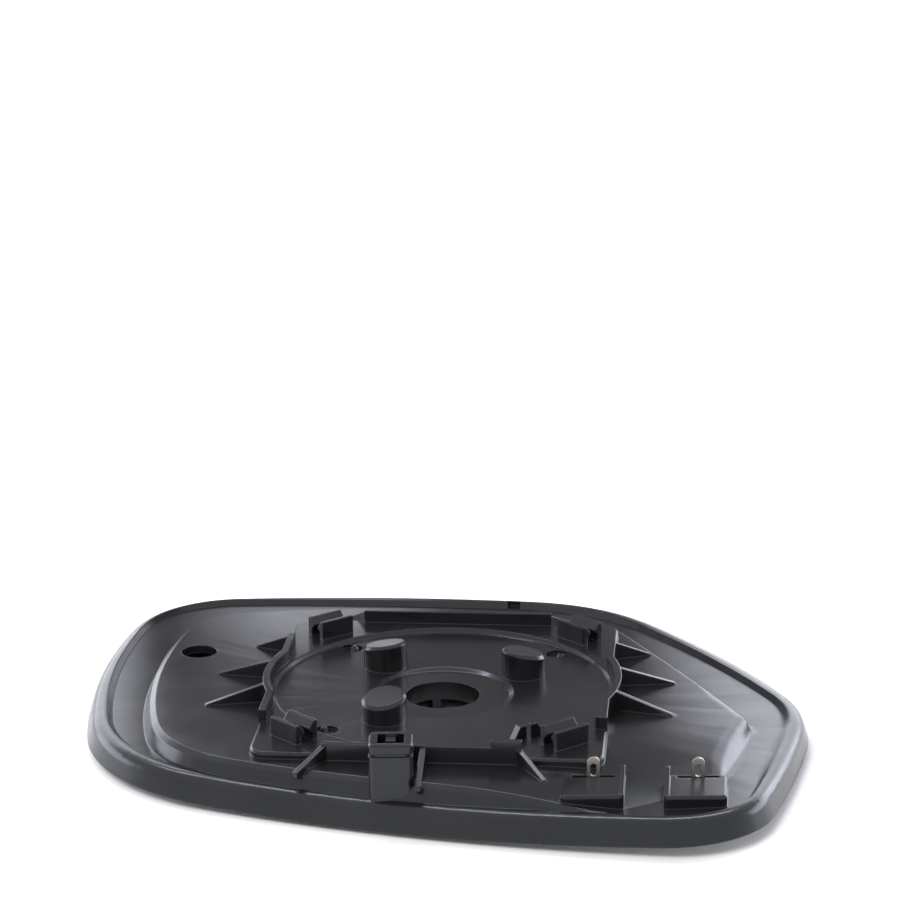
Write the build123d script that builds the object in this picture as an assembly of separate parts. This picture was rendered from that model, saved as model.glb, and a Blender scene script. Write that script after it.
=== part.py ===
"""Car door mirror glass: a convex mirror pane on a heated, moulded carrier plate.

It lies on its mirror face with the back of the plate up. The origin is on the axis of the
hub that the mirror's adjuster turns about, at the hub's face. X runs along the mirror,
Y across it and Z out of its back. Millimetres.
"""
import os
from math import atan2, cos, degrees, hypot, radians, sin, sqrt, tan

from build123d import *

# Mirror pane and the heating foil behind it
glass_radius = 1660.0
glass_thickness = 2.0
glass_edge_chamfer = 0.4
glass_fit = 0.2
foil_thickness = 0.4
foil_margin = 1.5
hub_height = 11.2

# Outline of the whole mirror: corners of five bowed sides, anticlockwise from the outer tip
outline_corners = [(97.0, -7.0), (46.5, 79.5), (-81.5, 83.0), (-86.5, -38.5), (74.0, -85.0)]
outline_bows = [5.5, 7.0, 10.5, 7.5, 2.0]
outline_radii = [44.0, 54.0, 35.0, 53.0, 26.0]

# Rim round the glass: depths are measured from the mirror face
lip_width = 2.0
skirt_draft = 17.0
shoulder_round = 3.3
crest_depth = 6.6
rim_width = 5.0
ring_depth = 5.4
rim_step_draft = 45.0
rim_notch_at = 20.3
rim_notch_width = 3.7
rim_notch_depth = 1.6
rim_notch_inset = 3.2

# Raised platform in the middle of the plate; its near outer corner runs out to a toe and falls away
platform_corners = [(78.2, -19.7), (44.3, 57.0), (-67.8, 62.1), (-70.2, -37.9), (54.9, -70.0)]
platform_bows = [0.8, 7.7, 7.9, 7.8, 0.8]
platform_radii = [4.0, 30.0, 18.6, 35.5, 10.0]
platform_toe = (64.0, -74.0)
platform_height = 0.8
platform_slope = 24.0
platform_edge_chamfer = 1.05
plate_wall = 2.2
ramp_head = (76.0, -23.0)
ramp_foot = (-14.0, -66.0)
ramp_radius = 90.0

# Seat of the adjuster, turned a little against the outline
seat_turn = 5.0
seat_width = 89.2
seat_length = 99.0
seat_corner_radius = 4.5
seat_disc_radius = 47.2
seat_height = 2.6
seat_edge_chamfer = 0.5
wall_thickness = 1.8
wall_height = 6.0
front_wall_height = 5.3
side_wall_reach = 29.0
end_wall_reach = 26.0
stop_start = 16.5
stop_end = 24.2
stop_height = 7.0
wall_lobe_radius = 1.7
dish_radius = 44.8
dish_edge_height = 1.6
dish_step_draft = 40.0

# Hub of the adjuster
hub_radius = 9.8
hub_land_radius = 17.5
hub_land_slope = 60.0
hub_floor_height = 0.8
hub_bore_length = 5.0
hub_collar_wall = 1.6
hub_rib_width = 2.4
hub_rib_turn = 8.7
hub_rib_setback = 0.8

# Three stop posts
post_radius = 5.8
post_ring_radius = 25.0
post_angles = [35.0, 133.0, 238.0]
post_height = 7.5
post_top_slope = 12.0
post_edge_chamfer = 0.75

# Four snap sockets for the adjuster's hooks
socket_ring_radius = 51.5
socket_angle = 48.3
socket_width = 10.0
socket_gap = 3.8
socket_wall = 1.6
socket_height = 5.0
socket_nose = 1.0
socket_nose_height = 2.6

# Locating dimples beside three of the sockets, and the pair of key blocks at the fourth
dimple_ring_radius = 40.6
dimple_angles = [44.5, 133.0, 228.7]
dimple_radius = 3.1
dimple_depth = 0.9
dimple_knob_radius = 1.5
dimple_knob_top_radius = 0.8
dimple_knob_sides = 12
dimple_knob_height = 1.4
dimple_knob_offset = 1.1
key_angle = -53.5
key_ring_radius = 41.0
key_spacing = 5.4
key_base = 4.0
key_top = 1.8
key_height = 3.9
key_thickness = 2.4
key_root = 0.5

# Ribs that brace the seat's walls: root and tip in the seat's own frame
rib_thickness = 1.5
rib_tip_height = 0.3
rib_top_step = 0.2
side_ribs = [((-43.8, 27.6), (-53.7, 31.8)), ((-46.2, 8.0), (-60.9, 10.2)), ((-46.2, -9.5), (-61.0, -13.3))]
far_ribs = [((-25.0, 48.6), (-31.0, 56.2)), ((-0.5, 48.6), (-0.5, 61.3)), ((24.2, 48.6), (30.4, 56.4))]
near_ribs = [((-25.0, -48.6), (-31.5, -58.8)), ((-0.4, -48.6), (-0.3, -65.5)), ((23.2, -48.6), (30.4, -57.7))]

# Access hole in the platform
access_hole_at = (-66.5, 32.5)
access_hole_radius = 4.85

# Hollow guide tower at the near edge
tower_at = (-12.5, -58.6)
tower_width = 11.0
tower_depth = 9.6
tower_top = 11.2
tower_cap_height = 2.4
tower_groove = 0.5
tower_groove_height = 0.8
tower_corner_radius = 1.8
tower_mouth_width = 6.6
tower_mouth_depth = 6.4
tower_mouth_reach = 9.0
tower_tab_width = 2.5
tower_tab_reach = 3.7
tower_tab_thickness = 1.2

# Two terminal boxes with a spade lug in each
lug_at = [(37.4, -56.9), (63.2, -57.9)]
lug_width = 3.3
lug_thickness = 0.8
lug_top = 5.1
lug_eye_width = 1.5
lug_eye_height = 3.2
lug_eye_margin = 1.7
lug_foot_length = 6.0
lug_foot_width = 7.0
slot_length = 10.4
slot_width = 1.4
box_width = 15.4
box_depth = 14.2
box_back = 1.6
box_shift = [-0.3, -0.9]
box_top = 0.0
box_wall = 1.6
box_corner_chamfer = 0.9
box_edge_chamfer = 0.6
box_cheek_sides = [1, -1]
box_cheek_width = 1.2
box_cheek_height = 2.3

# Room for cutters beyond the part
clear = 60.0
span = 260.0


def meeting_point(first, second, near):
    """Where two circles meet, on the side of a given point."""
    (centre, radius), (other, other_radius) = first, second
    line = other - centre
    along = (radius ** 2 - other_radius ** 2 + line.length ** 2) / (2 * line.length)
    across = sqrt(radius ** 2 - along ** 2)
    foot = centre + line.normalized() * along
    step = Vector(-line.Y, line.X, 0).normalized() * across
    target = Vector(near[0], near[1], 0)
    return min((foot + step, foot - step), key=lambda point: (point - target).length)


def bowed_face(corners, bows, radii, inset):
    """A closed outline of bowed sides with rounded corners, moved inwards by inset."""
    count = len(corners)
    circles = []
    for i in range(count):
        start = Vector(*corners[i], 0)
        chord = Vector(*corners[(i + 1) % count], 0) - start
        radius = ((chord.length / 2) ** 2 + bows[i] ** 2) / (2 * bows[i])
        inward = Vector(-chord.Y, chord.X, 0).normalized()
        circles.append((start + chord * 0.5 + inward * (radius - bows[i]), radius - inset))
    points = [meeting_point(circles[i - 1], circles[i], corners[i]) for i in range(count)]
    sides = [RadiusArc(points[i], points[(i + 1) % count], -circles[i][1]) for i in range(count)]
    face = make_face(sides)
    for point, radius in zip(points, radii):
        vertex = face.vertices().sort_by_distance(point)[0]
        face = fillet(vertex, radius - inset)
    return face


def outline(inset):
    return bowed_face(outline_corners, outline_bows, outline_radii, inset)


def platform_outline(inset):
    return bowed_face(platform_corners, platform_bows, platform_radii, inset)


def seat_outline(inset):
    """A rounded plate joined with the disc that bulges past its long sides."""
    trim = 2 * inset
    disc = Circle(seat_disc_radius - inset)
    return disc + RectangleRounded(seat_width - trim, seat_length - trim, seat_corner_radius - inset)


def dome(depth):
    """A block whose underside is the sphere at that depth behind the mirror face."""
    centre = Plane(origin=(0, 0, glass_radius - hub_height), x_dir=(0, 0, 1), z_dir=(0, 1, 0))
    ball = centre * Sphere(glass_radius - depth)
    block = Pos(0, 0, -hub_height - 1) * Box(span, span, clear, align=(Align.CENTER, Align.CENTER, Align.MIN))
    return block & ball


def prism(face, bottom, top):
    """A face raised from one height to another."""
    return extrude(Pos(0, 0, bottom) * face, top - bottom)


def drafted(family, inset, height, bottom, top, slope):
    """An outline raised with sloping sides, that has its inset at one height and shrinks upwards."""
    rate = tan(radians(slope))
    low = Pos(0, 0, bottom) * family(inset + (bottom - height) * rate)
    high = Pos(0, 0, top) * family(inset + (top - height) * rate)
    return loft([low, high], ruled=True)


def seat_frame(shape):
    """Moves a shape from the adjuster seat's own frame to the mirror's."""
    return Rot(0, 0, -seat_turn) * shape


base = -hub_height
foil_depth = glass_thickness + foil_thickness
edge_rise = (outline(0).bounding_box().size.X / 2) ** 2 / (2 * glass_radius)
on_floor = (Align.CENTER, Align.CENTER, Align.MIN)


def rim_and_ring():
    """The skirt round the glass, its crest, and the thin ring inside it."""
    edge = base + edge_rise
    top = edge + crest_depth * 2
    slab = (drafted(outline, 0, edge, base, top, skirt_draft) & dome(0)) - dome(crest_depth)
    crest = slab.faces().filter_by(GeomType.SPHERE).sort_by(Axis.Z)[-1]
    slab = fillet(crest.outer_wire().edges(), shoulder_round)
    pocket = drafted(outline, rim_width, edge + crest_depth, base, top, -rim_step_draft)
    return slab - (pocket & dome(ring_depth))


def rim_notch():
    """A small pocket in the crest of the rim at its far side, open to the ring."""
    cutter = Box(rim_notch_width, span, clear, align=(Align.CENTER, Align.MIN, Align.CENTER))
    cutter = (Pos(rim_notch_at, 0, 0) * cutter) & prism(outline(rim_notch_inset), -clear, clear)
    cutter -= prism(outline(rim_width * 2), -clear, clear)
    return cutter & dome(crest_depth - rim_notch_depth)


def ramp_downhill():
    along = Vector(ramp_foot[0] - ramp_head[0], ramp_foot[1] - ramp_head[1], 0)
    return Vector(-along.Y, along.X, 0).normalized()


def ramp_drop(x, y):
    """How far the platform has fallen at a place on it."""
    downhill = ramp_downhill()
    reach = max(0.0, (x - ramp_head[0]) * downhill.X + (y - ramp_head[1]) * downhill.Y)
    return ramp_radius - sqrt(ramp_radius ** 2 - reach ** 2)


def ramp_cutter(drop):
    """The space above the rounded fall of the platform's near outer quarter, lowered by drop."""
    downhill = ramp_downhill()
    origin = Vector(ramp_head[0], ramp_head[1], platform_height - ramp_radius)
    plane = Plane(origin=origin, x_dir=downhill, z_dir=Vector(downhill.Y, -downhill.X, 0))
    room = Box(span, ramp_radius + clear, span * 2, align=(Align.MIN, Align.MIN, Align.CENTER))
    return plane * (room - Cylinder(ramp_radius - drop, span * 2))


def platform_block(margin, drop):
    """The platform's sloped form, moved in by margin and down by drop."""
    top = platform_height - drop
    fall = top - base
    spread = fall / (platform_height - base - ring_depth)
    x, y = platform_corners[-1]
    foot = (x + (platform_toe[0] - x) * spread, y + (platform_toe[1] - y) * spread)
    margin_below = margin - fall * tan(radians(platform_slope))
    low = bowed_face(platform_corners[:-1] + [foot], platform_bows, platform_radii, margin_below)
    return loft([Pos(0, 0, base) * low, Pos(0, 0, top) * platform_outline(margin)], ruled=True)


def platform():
    """The platform with its fall; the chamfer of its edge runs on down both sides of the fall."""
    block = (platform_block(0, 0) & dome(ring_depth - plate_wall / 2)) - ramp_cutter(0)
    top = block.faces().filter_by(GeomType.PLANE).sort_by(Axis.Z)[-1]
    edges = top.outer_wire().edges().filter_by(GeomType.LINE, reverse=True)
    return chamfer(edges, platform_edge_chamfer)


def platform_hollow():
    """The room under the platform, open to the foil."""
    block = platform_block(plate_wall * 0.4, plate_wall)
    return (block & dome(foil_depth)) - ramp_cutter(plate_wall)


def glass_bed():
    """The room under the plate that the foil and the pane lie in."""
    bed = prism(outline(lip_width), base - 1, base + clear / 2)
    return bed - dome(foil_depth)


def seat_block():
    block = prism(seat_outline(0), platform_height - plate_wall / 2, seat_height)
    top = block.faces().sort_by(Axis.Z)[-1]
    return chamfer(top.outer_wire().edges(), seat_edge_chamfer)


def seat_dish():
    """The room inside the seat: a dished floor round the hub's flat land."""
    step = (seat_height - dish_edge_height) * tan(radians(dish_step_draft))
    land_run = hub_floor_height * tan(radians(hub_land_slope))
    profile = [
        (0, 0),
        (hub_land_radius, 0),
        (hub_land_radius + land_run, hub_floor_height),
        (dish_radius - step, dish_edge_height),
        (dish_radius, seat_height),
        (dish_radius, seat_height + 1),
        (0, seat_height + 1),
    ]
    return revolve(Plane.XZ * make_face(Polyline(profile, close=True)), Axis.Z)


def seat_walls():
    """Upright walls on the seat's edge, left open at its four corners."""
    band = seat_outline(0) - seat_outline(wall_thickness)
    foot = seat_height - seat_edge_chamfer * 2
    ring = prism(band, foot, stop_height)
    end = seat_length / 2
    sides = Box(span, side_wall_reach * 2, wall_height, align=on_floor)
    far = Pos(0, end, 0) * Box(end_wall_reach * 2, end / 2, wall_height, align=on_floor)
    near_length = end_wall_reach + stop_end
    near = Box(near_length, end / 2, front_wall_height, align=on_floor)
    near = Pos(stop_end - near_length / 2, -end, 0) * near
    stop_length = stop_end - stop_start
    stop = Pos(stop_end - stop_length / 2, -end, 0) * Box(stop_length, end / 2, stop_height, align=on_floor)
    lobe = Cylinder(wall_lobe_radius, wall_height - foot, align=on_floor)
    lobe = Pos(seat_width / 2 - wall_thickness, wall_lobe_radius - side_wall_reach, foot) * lobe
    return (ring & (sides + far + near + stop)) + lobe


def gusset(root, tip, top):
    """A thin upright rib that falls from a wall to the platform."""
    run = hypot(tip[0] - root[0], tip[1] - root[1])
    turn = degrees(atan2(tip[1] - root[1], tip[0] - root[0]))
    place = Vector(tip[0], tip[1], 0).rotate(Axis.Z, -seat_turn)
    ground = platform_height - ramp_drop(place.X, place.Y)
    foot = ground - plate_wall / 2
    profile = [(0, foot), (run, foot), (run, ground + rib_tip_height), (0, top)]
    rib = extrude(Plane.XZ * make_face(Polyline(profile, close=True)), rib_thickness / 2, both=True)
    return Pos(root[0], root[1], 0) * Rot(0, 0, turn) * rib


def seat_ribs():
    ribs = []
    for root, tip in side_ribs:
        ribs.append(gusset(root, tip, wall_height - rib_top_step))
        ribs.append(gusset((-root[0], root[1]), (-tip[0], tip[1]), wall_height - rib_top_step))
    ribs += [gusset(root, tip, wall_height - rib_top_step) for root, tip in far_ribs]
    ribs += [gusset(root, tip, front_wall_height - rib_top_step) for root, tip in near_ribs]
    return ribs


def post(angle):
    """A stop post whose top rises towards the hub."""
    column = Cylinder(post_radius, post_height * 2, align=on_floor)
    lean = radians(post_top_slope)
    along = (cos(lean), 0, -sin(lean))
    plane = Plane(origin=(0, 0, post_height), x_dir=along, z_dir=(sin(lean), 0, cos(lean)))
    column -= plane * Box(post_radius * 4, post_radius * 4, clear, align=on_floor)
    top = column.faces().sort_by(Axis.Z)[-1]
    column = chamfer(top.edges(), post_edge_chamfer)
    return Rot(0, 0, angle) * Pos(post_ring_radius, 0, 0) * column


def socket(angle):
    """Two upright plates with facing noses, for a hook of the adjuster to snap between."""
    inner = socket_gap / 2
    outer = inner + socket_wall
    foot = -seat_edge_chamfer
    profile = [
        (inner, foot),
        (outer, foot),
        (outer, socket_height),
        (outer - socket_wall * 0.7, socket_height),
        (inner - socket_nose, socket_nose_height + socket_nose * 0.6),
        (inner - socket_nose, socket_nose_height),
        (inner, socket_nose_height - socket_nose * 0.6),
    ]
    plate = extrude(Plane.XZ * make_face(Polyline(profile, close=True)), socket_width / 2, both=True)
    pair = [plate, Rot(0, 0, 180) * plate]
    return [Rot(0, 0, angle) * Pos(socket_ring_radius, 0, seat_height) * p for p in pair]


def dish_floor_at(radius):
    """Height of the dished floor at a distance from the hub's axis."""
    inner = hub_land_radius + hub_floor_height * tan(radians(hub_land_slope))
    outer = dish_radius - (seat_height - dish_edge_height) * tan(radians(dish_step_draft))
    return hub_floor_height + (dish_edge_height - hub_floor_height) * (radius - inner) / (outer - inner)


def dimple(angle):
    """A round recess in the dished floor, and the small tapered knob that stands in it."""
    floor = dish_floor_at(dimple_ring_radius) - dimple_depth
    hole = Pos(0, 0, floor) * Cylinder(dimple_radius, clear, align=on_floor)
    sides = round(dimple_knob_sides)
    low = RegularPolygon(dimple_knob_radius, sides)
    high = Pos(0, 0, dimple_knob_height) * RegularPolygon(dimple_knob_top_radius, sides)
    knob = loft([low, high], ruled=True) + prism(low, -dimple_depth / 3, 0)
    knob = Pos(0, -dimple_knob_offset, floor) * knob
    turn = Rot(0, 0, angle) * Pos(dimple_ring_radius, 0, 0)
    return turn * hole, turn * knob


def key_blocks():
    """Two small blocks with upright faces turned to each other."""
    gap = (key_spacing - key_base) / 2
    floor = dish_floor_at(key_ring_radius)
    profile = [
        (gap, floor - key_root),
        (gap + key_base, floor - key_root),
        (gap + key_base, floor),
        (gap + key_top, floor + key_height),
        (gap, floor + key_height),
    ]
    block = extrude(Plane.YZ * make_face(Polyline(profile, close=True)), key_thickness / 2, both=True)
    turn = Rot(0, 0, key_angle) * Pos(key_ring_radius, 0, 0)
    return [turn * block, turn * Rot(0, 0, 180) * block]


def tower():
    """A hollow square guide with a cap, a groove under the cap and a tab in its mouth."""
    foot = base + (ring_depth + foil_depth) / 2
    body_face = RectangleRounded(tower_width, tower_depth, tower_corner_radius)
    body = prism(body_face, foot, tower_top)
    top = body.faces().sort_by(Axis.Z)[-1]
    body = chamfer(top.outer_wire().edges(), tower_groove)
    core = Rectangle(tower_width - 2 * tower_groove, tower_depth - 2 * tower_groove)
    core = chamfer(core.vertices(), tower_corner_radius - tower_groove)
    groove_face = body_face - core
    groove_top = tower_top - tower_cap_height
    body -= prism(groove_face, groove_top - tower_groove_height, groove_top)
    mouth = Rectangle(tower_mouth_width, tower_mouth_depth)
    body -= prism(mouth, tower_top - tower_mouth_reach, tower_top + 1)
    tab_top = tower_top - tower_groove
    tab_face = Pos(0, tower_mouth_depth / 2) * Rectangle(
        tower_tab_width, tower_tab_reach, align=(Align.CENTER, Align.MAX)
    )
    body += prism(tab_face, tab_top - tower_tab_thickness, tab_top)
    return Pos(tower_at[0], tower_at[1], 0) * body


def terminal_frame(index, shape):
    """Places a shape at one of the two terminals."""
    x, y = lug_at[index]
    return Pos(x, y, 0) * shape


def leaning_face(width, depth):
    """A four-sided face with a square front and back, and sides that lean as the seat is turned."""
    lean = tan(radians(seat_turn))
    side, end = width / 2, depth / 2
    corners = [(-side, -end), (side, -end), (side, end), (-side, end)]
    return Polygon(*[(x + y * lean, y) for x, y in corners], align=None)


def terminal_box(index):
    """A box in the fall of the platform with a cheek along one side; returns it, and the room inside it."""
    face = leaning_face(box_width, box_depth)
    face = chamfer(face.vertices(), box_corner_chamfer)
    shift = Pos(box_shift[index], -box_depth / 2 + box_back, 0)
    foot = base + (ring_depth + foil_depth) / 2
    box = prism(face, foot, box_top)
    top = box.faces().sort_by(Axis.Z)[-1]
    box = chamfer(top.outer_wire().edges(), box_edge_chamfer)
    reach = box_depth / 2
    profile = [
        (reach, foot),
        (reach, box_top + box_cheek_height),
        (reach - box_cheek_width, box_top + box_cheek_height),
        (box_edge_chamfer - reach, box_top),
        (box_edge_chamfer - reach, foot),
    ]
    wedge = extrude(Plane.YZ * make_face(Polyline(profile, close=True)), box_width, both=True)
    strip = leaning_face(box_cheek_width, box_depth)
    strip = Pos(box_cheek_sides[index] * (box_width - box_cheek_width) / 2, 0) * strip
    cheek = prism(strip, foot, box_top + box_cheek_height) & wedge
    room_face = leaning_face(box_width - box_wall * 2, box_depth - box_wall * 2)
    room = prism(room_face, base, box_top - box_wall)
    slot = Pos(0, 0, base) * Box(slot_length, slot_width, clear, align=on_floor)
    solid = terminal_frame(index, shift * (box + cheek))
    hollow = terminal_frame(index, (shift * room) + slot)
    return solid, hollow & dome(foil_depth)


def terminal_lug(index):
    """A flat spade with an eye, standing on a foot that lies on the foil."""
    x, y = lug_at[index]
    rest = base + foil_depth + hypot(x, y) ** 2 / (2 * glass_radius)
    blade_face = Pos(0, rest) * Rectangle(lug_width, lug_top - rest, align=(Align.CENTER, Align.MIN))
    tips = blade_face.vertices().group_by(Axis.Y)[-1]
    blade_face = fillet(tips, lug_width * 0.45)
    eye_at = lug_top - lug_eye_margin - lug_eye_height / 2
    blade_face -= Pos(0, eye_at) * SlotOverall(lug_eye_height, lug_eye_width, rotation=90)
    blade = extrude(Plane.XZ * blade_face, lug_thickness / 2, both=True)
    foot_height = rest + lug_thickness - base
    behind = (Align.CENTER, Align.MAX, Align.MIN)
    foot = Pos(0, lug_thickness / 2, base) * Box(lug_foot_width, lug_foot_length, foot_height, align=behind)
    return terminal_frame(index, blade + foot) & dome(foil_depth)


def carrier_plate():
    plate = rim_and_ring() + platform()
    plate += seat_frame(seat_block())
    plate -= seat_frame(seat_dish())
    plate -= rim_notch()
    plate += [seat_frame(rib) for rib in seat_ribs()]
    plate += seat_frame(seat_walls())
    plate += [seat_frame(post(angle)) for angle in post_angles]
    for angle in (socket_angle, 180 - socket_angle, 180 + socket_angle, -socket_angle):
        plate += [seat_frame(plate_half) for plate_half in socket(angle)]
    for angle in dimple_angles:
        hole, knob = dimple(angle)
        plate -= seat_frame(hole)
        plate += seat_frame(knob)
    plate += [seat_frame(block) for block in key_blocks()]
    plate += tower()
    boxes = [terminal_box(index) for index in range(len(lug_at))]
    plate += [solid for solid, hollow in boxes]
    room = platform_hollow()
    cross = Box(span, hub_rib_width, clear) + Box(hub_rib_width, span, clear)
    collar = Pos(0, 0, -hub_bore_length) * Cylinder(hub_radius + hub_collar_wall, clear, align=on_floor)
    room -= Rot(0, 0, hub_rib_turn) * cross
    room -= collar
    plate -= room
    plate -= [hollow for solid, hollow in boxes]
    bore = Pos(0, 0, -hub_bore_length) * Cylinder(hub_radius, clear, align=on_floor)
    under_hub = (Align.CENTER, Align.CENTER, Align.MAX)
    throat = Pos(0, 0, -hub_bore_length) * Cylinder(hub_radius + hub_rib_setback, clear, align=under_hub)
    plate -= bore + (throat & dome(foil_depth))
    access = Cylinder(access_hole_radius, clear) & dome(foil_depth)
    plate -= Pos(access_hole_at[0], access_hole_at[1], 0) * access
    plate -= glass_bed()
    return plate


def mirror_glass():
    pane = prism(outline(lip_width + glass_fit), base - 1, base + clear / 2)
    pane = (pane & dome(0)) - dome(glass_thickness)
    edges = pane.faces().sort_by(Axis.Z)[0].outer_wire().edges()
    return chamfer(edges, glass_edge_chamfer)


def heater_foil():
    sheet = prism(outline(lip_width + glass_fit + foil_margin), base - 1, base + clear / 2)
    return (sheet & dome(glass_thickness)) - dome(foil_depth)


shapes = {
    "carrier_plate": carrier_plate(),
    "mirror_glass": mirror_glass(),
    "heater_foil": heater_foil(),
    "terminal_lug_inner": terminal_lug(0),
    "terminal_lug_outer": terminal_lug(1),
}

os.makedirs("parts", exist_ok=True)
for name, shape in shapes.items():
    export_step(shape, f"parts/{name}.step")
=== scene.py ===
"""Looks of a car door mirror glass: a silvered pane on a black moulded back plate, lying back up."""

import bmesh
import bpy
from mathutils import Matrix, Vector


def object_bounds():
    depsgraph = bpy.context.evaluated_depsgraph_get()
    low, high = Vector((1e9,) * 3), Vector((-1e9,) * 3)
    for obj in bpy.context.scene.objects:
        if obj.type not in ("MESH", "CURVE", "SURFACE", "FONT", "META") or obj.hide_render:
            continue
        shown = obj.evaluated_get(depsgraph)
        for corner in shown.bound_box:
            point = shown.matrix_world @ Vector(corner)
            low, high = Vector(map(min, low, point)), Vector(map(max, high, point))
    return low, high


bl_info = {
    "name": "Door mirror glass looks",
    "version": (1, 0, 0),
    "blender": (4, 5, 0),
    "location": "3D View > Sidebar > Mirror",
    "description": "Finishes the packed mirror plate, pane, foil and lugs, and sets up the stage",
    "category": "Object",
}

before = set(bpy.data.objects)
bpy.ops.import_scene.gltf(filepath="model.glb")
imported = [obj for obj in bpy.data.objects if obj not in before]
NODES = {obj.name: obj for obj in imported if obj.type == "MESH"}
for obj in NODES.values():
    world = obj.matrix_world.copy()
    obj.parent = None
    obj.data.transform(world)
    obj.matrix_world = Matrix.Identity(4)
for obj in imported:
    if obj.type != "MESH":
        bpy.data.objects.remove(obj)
CAD_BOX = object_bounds()
FLOOR_Z = CAD_BOX[0][2]
FLOOR_HALF_WIDTH = 6.0

# Radii from the hub's axis between which the moulding's flow marks come in
FLOW_RADII = (0.015, 0.05)
# The oval at the plate's outer corner where its fold is shaded softly, and the share of it that fades
FOLD_CENTRE = (0.077, -0.0261, 0.0)
FOLD_REACH = (0.02, 0.0278, 0.02)
FOLD_FADE = (0.75, 1.15)
# Colour of the pane's ground edge, and how much duller it is than the face
GROUND_EDGE_COLOR = (0.30, 0.36, 0.34, 1.0)
GROUND_EDGE_DULLNESS = 0.35
# Upward lean of the normal between which a surface counts as an upright side or as a broad face
UPRIGHT_TO_BROAD = (0.55, 0.9)

# The dark card behind the mirror: its ends, height and soft edges
FLAG_X = (-0.2, 0.25)
FLAG_Y = 0.118
FLAG_Z = (-0.011, 0.26)
FLAG_TONE = 0.22
FLAG_LEFT_EDGE = (-0.101, -0.085)
FLAG_RIGHT_EDGE = (0.046, 0.074)
FLAG_RIGHT_LEAN = -0.35
FLAG_TOP_EDGE = (0.135, 0.180)
FLAG_TOP_SLOPE = -0.8
# A thin place low on the card that lets some sheen back onto the plate
FLAG_THIN_CENTRE = (-0.0382, 0.0, 0.02)
FLAG_THIN_REACH = (0.0263, None, 0.01333)
FLAG_THIN_COVER = 0.45
FLAG_THIN_FADE = (0.5, 1.6)

# Each lamp's name, place, target, size, power in watts, and whether it shows in the gloss
LAMPS = (
    ("key", (-0.6, -0.7, 1.1), (0, 0, 0), (0.9, 0.7), 14.0, False),
    ("back", (0.0, 1.3, 0.5), (0, 0, 0.1), (2.4, 1.0), 16.5, True),
    ("strip", (0.0, 0.75, 1.42), (0, 0, 0), (1.6, 0.14), 11.0, True),
    ("right side", (1.0, 0.5, 0.25), (0, 0, 0.02), (1.0, 0.5), 6.6, True),
    ("left side", (-1.05, 0.5, 0.25), (0, 0, 0.02), (0.9, 0.5), 4.9, True),
)

CAMERA_PLACE = (0.00502767, -0.80607555, 0.309575)
CAMERA_RIGHT = (0.99995, 0.00002, -0.00979)
CAMERA_AHEAD = (-0.00284, 0.9577, -0.28775)
SENSOR_WIDTH_MM = 36.0
WHITE = (1.0, 1.0, 1.0, 1.0)


class MirrorFinish(bpy.types.PropertyGroup):
    plate_color: bpy.props.FloatVectorProperty(
        name="Plate colour", description="Colour of the moulded back plate", subtype="COLOR",
        size=4, min=0.0, max=1.0, default=(0.0075, 0.0075, 0.0082, 1.0))
    plate_roughness: bpy.props.FloatProperty(
        name="Plate roughness", description="How dull the moulding is", subtype="FACTOR",
        min=0.0, max=1.0, default=0.2)
    sheen_color: bpy.props.FloatVectorProperty(
        name="Sheen colour", description="Tint of the moulding's gloss", subtype="COLOR",
        size=4, min=0.0, max=1.0, default=(0.90, 0.93, 1.0, 1.0))
    edge_radius: bpy.props.FloatProperty(
        name="Edge radius", description="Radius that the moulding's sharp edges catch light on",
        subtype="DISTANCE", unit="LENGTH", min=0.0, max=0.002, default=0.00045)
    fold_radius: bpy.props.FloatProperty(
        name="Fold radius", description="Radius that the fold at the plate's outer corner is shaded with",
        subtype="DISTANCE", unit="LENGTH", min=0.0, max=0.006, default=0.003)
    silver_color: bpy.props.FloatVectorProperty(
        name="Silver colour", description="Colour of the pane's silvering", subtype="COLOR",
        size=4, min=0.0, max=1.0, default=(0.82, 0.84, 0.86, 1.0))
    foil_color: bpy.props.FloatVectorProperty(
        name="Foil colour", description="Colour of the heating foil's back", subtype="COLOR",
        size=4, min=0.0, max=1.0, default=(0.66, 0.66, 0.67, 1.0))
    lug_color: bpy.props.FloatVectorProperty(
        name="Lug colour", description="Colour of the tinned lugs", subtype="COLOR",
        size=4, min=0.0, max=1.0, default=(0.42, 0.375, 0.35, 1.0))


class MirrorStage(bpy.types.PropertyGroup):
    floor_color: bpy.props.FloatVectorProperty(
        name="Floor colour", description="Colour of the pale floor", subtype="COLOR",
        size=4, min=0.0, max=1.0, default=(0.9, 0.9, 0.9, 1.0))
    fill_strength: bpy.props.FloatProperty(
        name="Fill", description="Strength of the light from all round", min=0.0, default=0.62)
    lamp_color: bpy.props.FloatVectorProperty(
        name="Lamp colour", description="Cool tint of the lamps that show in the gloss", subtype="COLOR",
        size=3, min=0.0, max=1.0, default=(0.86, 0.88, 1.0))
    lens: bpy.props.FloatProperty(
        name="Lens", description="Focal length of the camera", unit="CAMERA", min=1.0, default=130.58)


def node(tree, kind, place, **sockets):
    """Adds a node and sets its inputs by name."""
    made = tree.nodes.new(kind)
    made.location = place
    for name, value in sockets.items():
        made.inputs[name.replace("_", " ")].default_value = value
    return made


def math_node(tree, place, operation, *values):
    """A sum on sockets and numbers; returns its result."""
    made = node(tree, "ShaderNodeMath", place)
    made.operation = operation
    for socket, value in zip(made.inputs, values):
        if isinstance(value, float):
            socket.default_value = value
        else:
            tree.links.new(value, socket)
    return made.outputs["Value"]


def vector_math(tree, place, operation, *values):
    """A vector sum on sockets and vectors; returns its node."""
    made = node(tree, "ShaderNodeVectorMath", place)
    made.operation = operation
    for socket, value in zip(made.inputs, values):
        if isinstance(value, tuple):
            socket.default_value = value
        else:
            tree.links.new(value, socket)
    return made


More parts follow.
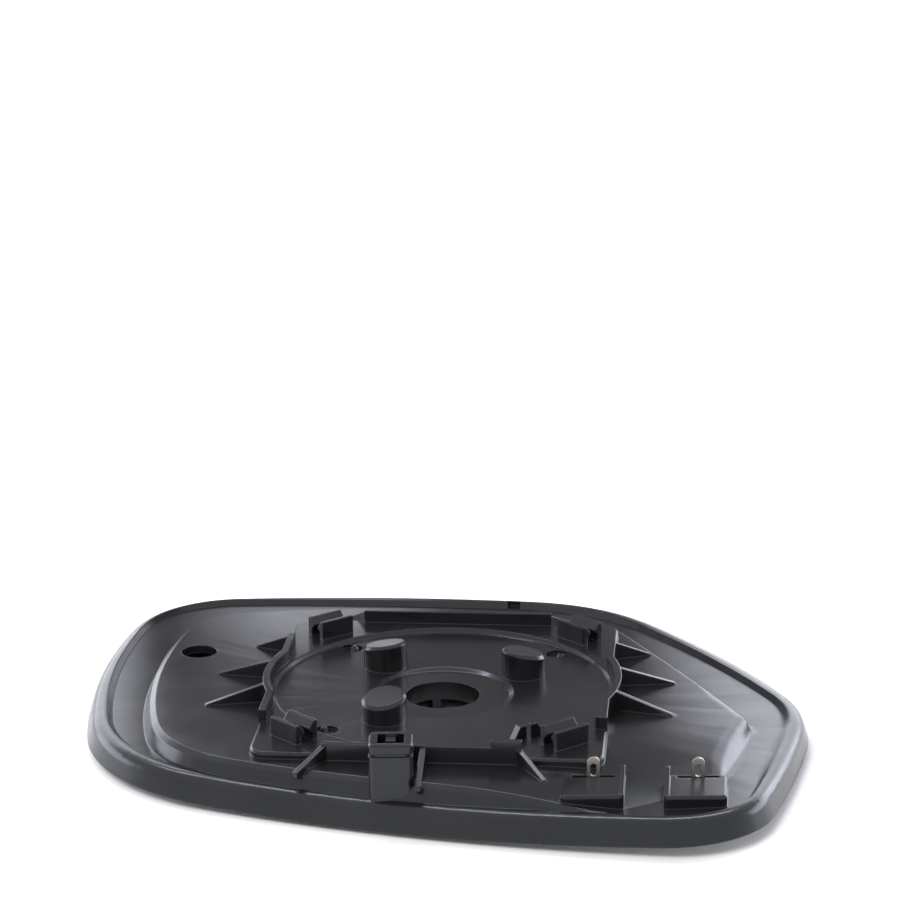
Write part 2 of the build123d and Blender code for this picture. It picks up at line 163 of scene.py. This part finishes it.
def mapped(tree, place, vector, **sockets):
    """A vector scaled, turned and moved."""
    made = node(tree, "ShaderNodeMapping", place, **sockets)
    tree.links.new(vector, made.inputs["Vector"])
    return made.outputs["Vector"]


def oval_distance(tree, place, vector, centre, reach):
    """Distance from a centre in reaches, one on the oval's edge; an axis with no reach doesn't count."""
    scale = [1.0 / along if along else 0.0 for along in reach]
    offset = [-middle * factor for middle, factor in zip(centre, scale)]
    moved = mapped(tree, place, vector, Scale=scale, Location=offset)
    return vector_math(tree, (place[0] + 200, place[1]), "LENGTH", moved).outputs["Value"]


def spread(tree, value, place, low, high, start=0.3, end=0.7):
    """Maps a value between start and end to the range from low to high."""
    made = node(tree, "ShaderNodeMapRange", place, From_Min=start, From_Max=end, To_Min=low, To_Max=high)
    tree.links.new(value, made.inputs["Value"])
    return made.outputs["Result"]


def colour_mix(tree, place, factor, first, second):
    """A blend of two colours by a mask."""
    made = node(tree, "ShaderNodeMix", place)
    made.data_type = "RGBA"
    made.inputs["A"].default_value = first
    made.inputs["B"].default_value = second
    tree.links.new(factor, made.inputs["Factor"])
    return made.outputs["Result"]


def shade_of(color, factor):
    """A colour made lighter or darker."""
    return [channel * factor for channel in color[:3]] + [1.0]


def fresh_material(name):
    """A material with a Principled shader; returns the material, its tree and the shader."""
    material = bpy.data.materials.new(name)
    material.use_nodes = True
    tree = material.node_tree
    shader = tree.nodes["Principled BSDF"]
    return material, tree, shader


def dress(node_name, material):
    """Gives a CAD node a material in place of the one it came with."""
    slots = NODES[node_name].material_slots
    if not slots:
        raise RuntimeError(f"{node_name} has no material slot")
    for slot in slots:
        slot.material = material


def wear_group():
    """A node group of the marks that the pieces share: cloudy patches, grain and fine scuffs."""
    group = bpy.data.node_groups.new("surface_marks", "ShaderNodeTree")
    group.interface.new_socket("Vector", in_out="INPUT", socket_type="NodeSocketVector")
    for name in ("Clouds", "Grain", "Scuffs"):
        group.interface.new_socket(name, in_out="OUTPUT", socket_type="NodeSocketFloat")
    vector = node(group, "NodeGroupInput", (-900, 0)).outputs["Vector"]
    outside = node(group, "NodeGroupOutput", (300, 0))
    clouds = node(
        group, "ShaderNodeTexNoise", (-600, 250), Scale=42.0, Detail=3.0, Roughness=0.5, Distortion=0.8)
    grain = node(group, "ShaderNodeTexNoise", (-600, 0), Scale=2400.0, Detail=2.0, Roughness=0.6)
    scuffs = node(
        group, "ShaderNodeTexNoise", (-500, -250), Scale=1.0, Detail=2.0, Roughness=0.5, Distortion=0.4)
    streaks = mapped(group, (-750, -250), vector, Scale=(22.0, 170.0, 60.0), Rotation=(0.0, 0.0, 0.2))
    group.links.new(vector, clouds.inputs["Vector"])
    group.links.new(vector, grain.inputs["Vector"])
    group.links.new(streaks, scuffs.inputs["Vector"])
    sharper = spread(group, scuffs.outputs["Fac"], (-200, -250), 0.0, 1.0, 0.45, 0.8)
    group.links.new(clouds.outputs["Fac"], outside.inputs["Clouds"])
    group.links.new(grain.outputs["Fac"], outside.inputs["Grain"])
    group.links.new(sharper, outside.inputs["Scuffs"])
    return group


def marks(tree, place):
    """Places the shared marks in a material, on the object's own coordinates; returns both nodes' outputs."""
    group = bpy.data.node_groups.get("surface_marks") or wear_group()
    where = node(tree, "ShaderNodeTexCoord", (place[0] - 250, place[1]))
    made = node(tree, "ShaderNodeGroup", place)
    made.node_tree = group
    tree.links.new(where.outputs["Object"], made.inputs["Vector"])
    return made.outputs, where.outputs


def flow_marks(tree, vector, place):
    """Faint streaks that fan out from the gate in the middle of the hub, where the melt ran."""
    x, y = place
    flat = mapped(tree, place, vector, Scale=(1.0, 1.0, 0.0))
    heading = vector_math(tree, (x + 180, y), "NORMALIZE", flat)
    bend = mapped(tree, (x + 180, y - 250), vector, Scale=(18.0, 18.0, 0.0))
    fan = vector_math(tree, (x + 360, y), "MULTIPLY_ADD", heading.outputs["Vector"], (4.0, 4.0, 4.0), bend)
    streaks = node(tree, "ShaderNodeTexNoise", (x + 540, y), Scale=1.2, Detail=1.5, Distortion=0.3)
    tree.links.new(fan.outputs["Vector"], streaks.inputs["Vector"])
    away = vector_math(tree, (x + 360, y - 250), "LENGTH", flat)
    outer = spread(tree, away.outputs["Value"], (x + 540, y - 250), 0.0, 1.0, *FLOW_RADII)
    return math_node(tree, (x + 720, y), "MULTIPLY", streaks.outputs["Fac"], outer)


def moulding_normal(tree, finish, found, vector):
    """The moulding's normal: rounded edges, a soft fold at the outer corner, flow marks and fine grain."""
    away = oval_distance(tree, (-1300, -500), vector, FOLD_CENTRE, FOLD_REACH)
    radius = spread(tree, away, (-900, -500), finish.fold_radius, finish.edge_radius, *FOLD_FADE)
    edge = node(tree, "ShaderNodeBevel", (-650, -350))
    edge.samples = 12
    tree.links.new(radius, edge.inputs["Radius"])
    flow = node(tree, "ShaderNodeBump", (-500, -350), Strength=1.0, Distance=0.0002)
    tree.links.new(flow_marks(tree, vector, (-1300, -800)), flow.inputs["Height"])
    tree.links.new(edge.outputs["Normal"], flow.inputs["Normal"])
    grain = node(tree, "ShaderNodeBump", (-350, -200), Strength=0.04, Distance=0.0001)
    tree.links.new(found["Grain"], grain.inputs["Height"])
    tree.links.new(flow.outputs["Normal"], grain.inputs["Normal"])
    return grain.outputs["Normal"]


def moulding_material(finish):
    """Satin black plastic with cloudy patches and faint scuffs."""
    material, tree, shader = fresh_material("moulded_black")
    found, where = marks(tree, (-950, 0))
    roughness = finish.plate_roughness
    dull = spread(tree, found["Clouds"], (-650, 250), roughness - 0.03, roughness + 0.04)
    scuffed = math_node(tree, (-400, 250), "MULTIPLY_ADD", found["Scuffs"], 0.02, dull)
    tree.links.new(scuffed, shader.inputs["Roughness"])
    patch = spread(tree, found["Clouds"], (-650, 500), 0.0, 1.0, 0.35, 0.75)
    pale = shade_of(finish.plate_color, 1.4)
    color = colour_mix(tree, (-400, 500), patch, finish.plate_color, pale)
    tree.links.new(color, shader.inputs["Base Color"])
    normal = moulding_normal(tree, finish, found, where["Object"])
    tree.links.new(normal, shader.inputs["Normal"])
    shader.inputs["IOR"].default_value = 1.47
    shader.inputs["Specular Tint"].default_value = finish.sheen_color
    return material


def upright_mask(tree, normal, place):
    """One on a piece's upright sides and nothing on its broad faces."""
    parts = node(tree, "ShaderNodeSeparateXYZ", place)
    tree.links.new(normal, parts.inputs["Vector"])
    flat = math_node(tree, (place[0] + 180, place[1]), "ABSOLUTE", parts.outputs["Z"])
    return spread(tree, flat, (place[0] + 360, place[1]), 1.0, 0.0, *UPRIGHT_TO_BROAD)


class MIRROR_OT_plate(bpy.types.Operator):
    """Finishes the moulded back plate"""
    bl_idname = "mirror.plate"
    bl_label = "Back plate"

    def execute(self, context):
        dress("carrier_plate", moulding_material(context.scene.mirror_finish))
        return {"FINISHED"}


class MIRROR_OT_pane(bpy.types.Operator):
    """Finishes the silvered pane"""
    bl_idname = "mirror.pane"
    bl_label = "Silvered pane"

    def execute(self, context):
        finish = context.scene.mirror_finish
        material, tree, shader = fresh_material("silvered_glass")
        found, where = marks(tree, (-950, -200))
        ground = upright_mask(tree, where["Normal"], (-950, 200))
        tint = colour_mix(tree, (-300, 300), ground, finish.silver_color, GROUND_EDGE_COLOR)
        tree.links.new(tint, shader.inputs["Base Color"])
        smear = spread(tree, found["Clouds"], (-650, -200), 0.015, 0.045)
        rough = math_node(tree, (-300, 0), "MULTIPLY_ADD", ground, GROUND_EDGE_DULLNESS, smear)
        tree.links.new(rough, shader.inputs["Roughness"])
        shader.inputs["Metallic"].default_value = 1.0
        shader.inputs["Coat Weight"].default_value = 1.0
        shader.inputs["Coat Roughness"].default_value = 0.01
        dress("mirror_glass", material)
        return {"FINISHED"}


class MIRROR_OT_foil(bpy.types.Operator):
    """Finishes the heating foil behind the pane"""
    bl_idname = "mirror.foil"
    bl_label = "Heating foil"

    def execute(self, context):
        finish = context.scene.mirror_finish
        material, tree, shader = fresh_material("foil_back")
        found, where = marks(tree, (-950, 0))
        patch = spread(tree, found["Clouds"], (-650, 200), 0.0, 1.0)
        dark = shade_of(finish.foil_color, 0.86)
        color = colour_mix(tree, (-350, 250), patch, finish.foil_color, dark)
        tree.links.new(color, shader.inputs["Base Color"])
        dull = spread(tree, found["Scuffs"], (-650, 0), 0.42, 0.6)
        tree.links.new(dull, shader.inputs["Roughness"])
        bump = node(tree, "ShaderNodeBump", (-350, -200), Strength=0.15, Distance=0.0001)
        tree.links.new(found["Grain"], bump.inputs["Height"])
        tree.links.new(bump.outputs["Normal"], shader.inputs["Normal"])
        dress("heater_foil", material)
        return {"FINISHED"}


class MIRROR_OT_lugs(bpy.types.Operator):
    """Finishes the two terminal lugs"""
    bl_idname = "mirror.lugs"
    bl_label = "Terminal lugs"

    def execute(self, context):
        finish = context.scene.mirror_finish
        material, tree, shader = fresh_material("tinned_lug")
        found, where = marks(tree, (-950, 0))
        patch = spread(tree, found["Grain"], (-650, 250), 0.0, 1.0)
        tarnish = shade_of(finish.lug_color, 0.72)
        color = colour_mix(tree, (-350, 300), patch, finish.lug_color, tarnish)
        tree.links.new(color, shader.inputs["Base Color"])
        dull = spread(tree, found["Grain"], (-650, 0), 0.24, 0.4)
        tree.links.new(dull, shader.inputs["Roughness"])
        edge = node(tree, "ShaderNodeBevel", (-650, -250), Radius=0.00025)
        edge.samples = 8
        tree.links.new(edge.outputs["Normal"], shader.inputs["Normal"])
        shader.inputs["Metallic"].default_value = 1.0
        for name in ("terminal_lug_inner", "terminal_lug_outer"):
            dress(name, material)
        return {"FINISHED"}


def area_lamp(name, place, target, size, power, gloss):
    """A soft rectangular lamp that looks at a point, and shows in the gloss or only lights."""
    light = bpy.data.lights.new(name, "AREA")
    light.shape = "RECTANGLE"
    light.size, light.size_y = size
    light.energy = power
    if gloss:
        light.color = bpy.context.scene.mirror_stage.lamp_color
    lamp = bpy.data.objects.new(name, light)
    lamp.location = place
    lamp.rotation_euler = (Vector(target) - Vector(place)).to_track_quat("-Z", "Y").to_euler()
    lamp.visible_camera = False
    lamp.visible_glossy = gloss
    bpy.context.scene.collection.objects.link(lamp)


def stage_mesh(name, shape, material):
    """Makes a bmesh into an object of the stage; returns the object."""
    mesh = bpy.data.meshes.new(name)
    shape.to_mesh(mesh)
    shape.free()
    mesh.materials.append(material)
    made = bpy.data.objects.new(name, mesh)
    bpy.context.scene.collection.objects.link(made)
    return made


def flag_cover(tree):
    """How much of the card covers: soft at its left, leaning right and sloping top edges, thin low down."""
    where = node(tree, "ShaderNodeTexCoord", (-1400, 0)).outputs["Object"]
    parts = node(tree, "ShaderNodeSeparateXYZ", (-1200, 0))
    tree.links.new(where, parts.inputs["Vector"])
    across, up = parts.outputs["X"], parts.outputs["Z"]
    left = spread(tree, across, (-700, 300), 0.0, 1.0, *FLAG_LEFT_EDGE)
    lean = math_node(tree, (-950, 50), "MULTIPLY_ADD", up, FLAG_RIGHT_LEAN, across)
    right = spread(tree, lean, (-700, 50), 1.0, 0.0, *FLAG_RIGHT_EDGE)
    slope = math_node(tree, (-950, -200), "MULTIPLY_ADD", across, FLAG_TOP_SLOPE, up)
    top = spread(tree, slope, (-700, -200), 1.0, 0.0, *FLAG_TOP_EDGE)
    away = oval_distance(tree, (-1200, -450), where, FLAG_THIN_CENTRE, FLAG_THIN_REACH)
    low = spread(tree, away, (-700, -450), FLAG_THIN_COVER, 1.0, *FLAG_THIN_FADE)
    cover = math_node(tree, (-450, 200), "MULTIPLY", left, right)
    cover = math_node(tree, (-300, 100), "MULTIPLY", cover, top)
    return math_node(tree, (-150, 0), "MULTIPLY", cover, low)


def flag_card():
    """A soft-edged dark card behind the mirror that holds the sheen off the middle of the plate."""
    material, tree, shader = fresh_material("flag_cloth")
    shader.inputs["Base Color"].default_value = (FLAG_TONE, FLAG_TONE, FLAG_TONE, 1.0)
    shader.inputs["Roughness"].default_value = 1.0
    tree.links.new(flag_cover(tree), shader.inputs["Alpha"])
    (left, right), (low, high) = FLAG_X, FLAG_Z
    shape = bmesh.new()
    corners = ((left, low), (right, low), (right, high), (left, high))
    shape.faces.new([shape.verts.new((x, FLAG_Y, z)) for x, z in corners])
    card = stage_mesh("flag", shape, material)
    for ray in ("camera", "diffuse", "transmission", "volume_scatter", "shadow"):
        setattr(card, f"visible_{ray}", False)


def pale_floor(color):
    """A plain pale floor that is see-through from beneath, so that the pane's face can be looked at."""
    material, tree, shader = fresh_material("pale_floor")
    shader.inputs["Base Color"].default_value = color
    shader.inputs["Roughness"].default_value = 0.9
    shader.inputs["Specular IOR Level"].default_value = 0.0
    side = node(tree, "ShaderNodeNewGeometry", (-600, -200))
    rays = node(tree, "ShaderNodeLightPath", (-800, -200)).outputs
    mirrored = math_node(tree, (-600, -400), "MINIMUM", rays["Is Glossy Ray"], rays["Transparent Depth"])
    beneath = math_node(tree, (-400, -300), "MAXIMUM", side.outputs["Backfacing"], mirrored)
    above = math_node(tree, (-200, -200), "SUBTRACT", 1.0, beneath)
    tree.links.new(above, shader.inputs["Alpha"])
    shape = bmesh.new()
    bmesh.ops.create_grid(shape, x_segments=1, y_segments=1, size=FLOOR_HALF_WIDTH)
    bmesh.ops.translate(shape, verts=shape.verts, vec=(0, 0, FLOOR_Z))
    stage_mesh("floor", shape, material)


def white_room(scene, fill_strength):
    """A world that looks white, also in gloss and glass, and lights the part with a plain soft fill."""
    scene.world = bpy.data.worlds.new("studio")
    scene.world.use_nodes = True
    tree = scene.world.node_tree
    tree.nodes.clear()
    rays = node(tree, "ShaderNodeLightPath", (-900, 0)).outputs
    seen = math_node(tree, (-700, 100), "MAXIMUM", rays["Is Camera Ray"], rays["Is Glossy Ray"])
    seen = math_node(tree, (-500, 100), "MAXIMUM", seen, rays["Is Transmission Ray"])
    fill = node(tree, "ShaderNodeBackground", (-300, -100), Color=WHITE, Strength=fill_strength)
    white = node(tree, "ShaderNodeBackground", (-300, 100), Color=WHITE, Strength=1.0)
    mix = node(tree, "ShaderNodeMixShader", (-100, 0))
    out = node(tree, "ShaderNodeOutputWorld", (100, 0))
    tree.links.new(seen, mix.inputs["Fac"])
    tree.links.new(fill.outputs["Background"], mix.inputs[1])
    tree.links.new(white.outputs["Background"], mix.inputs[2])
    tree.links.new(mix.outputs["Shader"], out.inputs["Surface"])


def photo_camera(scene, lens):
    """The camera at the photograph's angle."""
    data = bpy.data.cameras.new("camera")
    data.sensor_width = SENSOR_WIDTH_MM
    data.sensor_fit = "HORIZONTAL"
    data.lens = lens
    data.clip_start = 0.01
    camera = bpy.data.objects.new("camera", data)
    right = Vector(CAMERA_RIGHT).normalized()
    ahead = Vector(CAMERA_AHEAD)
    ahead = (ahead - right * ahead.dot(right)).normalized()
    up = right.cross(ahead)
    turn = Matrix((right, up, -ahead)).transposed().to_4x4()
    camera.matrix_world = Matrix.Translation(CAMERA_PLACE) @ turn
    scene.collection.objects.link(camera)
    scene.camera = camera


class MIRROR_OT_stage(bpy.types.Operator):
    """Sets up the floor, the light and the camera"""
    bl_idname = "mirror.stage"
    bl_label = "Stage"

    def execute(self, context):
        scene = context.scene
        stage = scene.mirror_stage
        pale_floor(stage.floor_color)
        white_room(scene, stage.fill_strength)
        flag_card()
        for lamp in LAMPS:
            area_lamp(*lamp)
        photo_camera(scene, stage.lens)
        scene.view_settings.view_transform = "Standard"
        return {"FINISHED"}


OPERATORS = (MIRROR_OT_plate, MIRROR_OT_pane, MIRROR_OT_foil, MIRROR_OT_lugs, MIRROR_OT_stage)


class MIRROR_PT_panel(bpy.types.Panel):
    bl_idname = "MIRROR_PT_panel"
    bl_label = "Door mirror glass"
    bl_space_type = "VIEW_3D"
    bl_region_type = "UI"
    bl_category = "Mirror"

    def draw(self, context):
        layout = self.layout
        for settings in (context.scene.mirror_finish, context.scene.mirror_stage):
            for name in settings.__annotations__:
                layout.prop(settings, name)
        for operator in OPERATORS:
            layout.operator(operator.bl_idname)


CLASSES = (MirrorFinish, MirrorStage) + OPERATORS + (MIRROR_PT_panel,)


def register():
    for item in CLASSES:
        bpy.utils.register_class(item)
    bpy.types.Scene.mirror_finish = bpy.props.PointerProperty(type=MirrorFinish)
    bpy.types.Scene.mirror_stage = bpy.props.PointerProperty(type=MirrorStage)


def unregister():
    del bpy.types.Scene.mirror_stage
    del bpy.types.Scene.mirror_finish
    for item in reversed(CLASSES):
        bpy.utils.unregister_class(item)


def main():
    register()
    for old in [o for o in bpy.data.objects if o.type in ("CAMERA", "LIGHT")]:
        bpy.data.objects.remove(old)
    bpy.ops.mirror.plate()
    bpy.ops.mirror.pane()
    bpy.ops.mirror.foil()
    bpy.ops.mirror.lugs()
    bpy.ops.mirror.stage()


if __name__ == "__main__":
    main()
